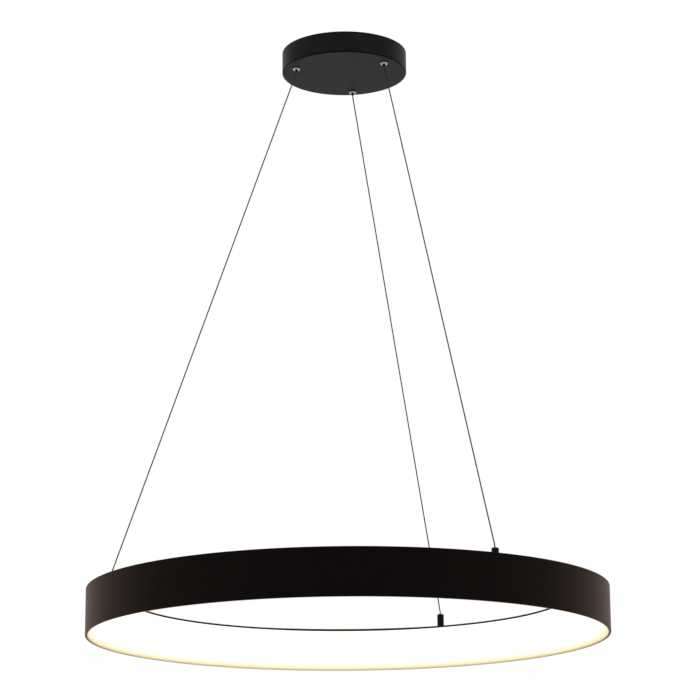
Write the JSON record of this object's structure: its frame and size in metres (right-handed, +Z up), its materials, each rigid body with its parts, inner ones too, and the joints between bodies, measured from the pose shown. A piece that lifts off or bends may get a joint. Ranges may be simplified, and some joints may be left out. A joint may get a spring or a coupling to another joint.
{
  "type": "led ring chandelier",
  "caption": "Pendant ceiling light: a round ceiling canopy, thin steel ropes and one large black ring with a slanting lit opal diffuser.",
  "frame": {"origin": "centre of the mounting plate's cable hole, in the plane of the ceiling", "axes": "+Z up, out of the ceiling face, along the axis of canopy and ring; the lamp hangs down -Z; -Y is the side seen in the picture, +X to its right"},
  "size_m": [0.8, 0.8, 0.948],
  "materials": {
    "black_powder_coat": "matt black powder coat",
    "canopy_coat": "matt black powder coat",
    "zinc_steel": "zinc plated",
    "black_steel": "blackened steel",
    "satin_nickel": "satin nickel plate on brass",
    "black_plunger": "black plated brass",
    "spring_steel": "bright spring steel",
    "black_nylon": "moulded nylon",
    "brass": "plain brass",
    "rope_steel": "bright stranded steel",
    "driver_plastic": "moulded, fine texture",
    "circuit_board": "solder mask",
    "component_plastic": "moulded",
    "terminal_plastic": "moulded",
    "lead_brown": "smooth insulation",
    "lead_blue": "smooth insulation",
    "lead_green": "smooth insulation",
    "lead_red": "smooth insulation",
    "lead_black": "smooth insulation",
    "plain_aluminium": "mill finish",
    "white_board": "white solder mask",
    "led_phosphor": "phosphor gel",
    "opal_diffuser": "opal, lit warm white"
  },
  "bodies": {
    "canopy": {"canopy_cover": "canopy_coat", "driver_board": "circuit_board", "driver_board_feet": "driver_plastic", "driver_case": "driver_plastic", "driver_components": "component_plastic", "driver_lid": "driver_plastic", "driver_screws": "zinc_steel", "earth_lead": "lead_green", "earth_lug": "brass", "earth_screw": "zinc_steel", "feed_lead_1": "lead_red", "feed_lead_2": "lead_black", "gripper_body_1": "satin_nickel", "gripper_body_2": "satin_nickel", "gripper_body_3": "satin_nickel", "gripper_bushes": "black_nylon", "gripper_end_plugs": "brass", "gripper_nuts": "zinc_steel", "gripper_washers": "black_nylon", "live_lead": "lead_brown", "mounting_plate": "zinc_steel", "neutral_lead": "lead_blue", "plunger_spring_1": "spring_steel", "plunger_spring_2": "spring_steel", "plunger_spring_3": "spring_steel", "rope_1": "rope_steel", "rope_2": "rope_steel", "rope_3": "rope_steel", "side_screws": "black_steel", "terminal_block": "terminal_plastic", "terminal_clamps": "brass", "terminal_screw": "zinc_steel", "upper_ferrules": "brass"},
    "ring": {"outer_wall": "black_powder_coat", "top_plate": "black_powder_coat", "diffuser": "opal_diffuser", "led_carrier": "plain_aluminium", "carrier_pillars": "plain_aluminium", "carrier_screws": "zinc_steel", "led_boards": "white_board", "led_chips": "led_phosphor", "board_links": "terminal_plastic", "wall_brackets": "zinc_steel", "plate_screws": "black_steel", "anchor_bushes": "black_nylon", "anchor_washers": "black_nylon", "contact_lugs": "brass", "lower_ferrules": "brass", "anchor_screws": "zinc_steel", "anchor_sleeve_1": "black_steel", "anchor_sleeve_2": "black_steel", "anchor_sleeve_3": "black_steel", "ring_lead_1": "lead_red", "ring_lead_2": "lead_black"},
    "plunger_1": {"plunger_1": "black_plunger", "gripper_balls_1": "spring_steel"},
    "plunger_2": {"plunger_2": "black_plunger", "gripper_balls_2": "spring_steel"},
    "plunger_3": {"plunger_3": "black_plunger", "gripper_balls_3": "spring_steel"}
  },
  "joints": [
    {"name": "ring_height", "type": "slide", "parent": "canopy", "child": "ring", "axis": [0, 0, 1], "range_m": [0, 0.6], "deforming": ["rope_1", "rope_2", "rope_3"]},
    {"name": "rope_release_1", "type": "slide", "parent": "canopy", "child": "plunger_1", "axis": [0, 0, 1], "range_m": [0, 0.002], "stiffness_N_per_m": 400, "springref_m": -0.002, "deforming": ["plunger_spring_1"]},
    {"name": "rope_release_2", "type": "slide", "parent": "canopy", "child": "plunger_2", "axis": [0, 0, 1], "range_m": [0, 0.002], "stiffness_N_per_m": 400, "springref_m": -0.002, "deforming": ["plunger_spring_2"]},
    {"name": "rope_release_3", "type": "slide", "parent": "canopy", "child": "plunger_3", "axis": [0, 0, 1], "range_m": [0, 0.002], "stiffness_N_per_m": 400, "springref_m": -0.002, "deforming": ["plunger_spring_3"]}
  ]
}
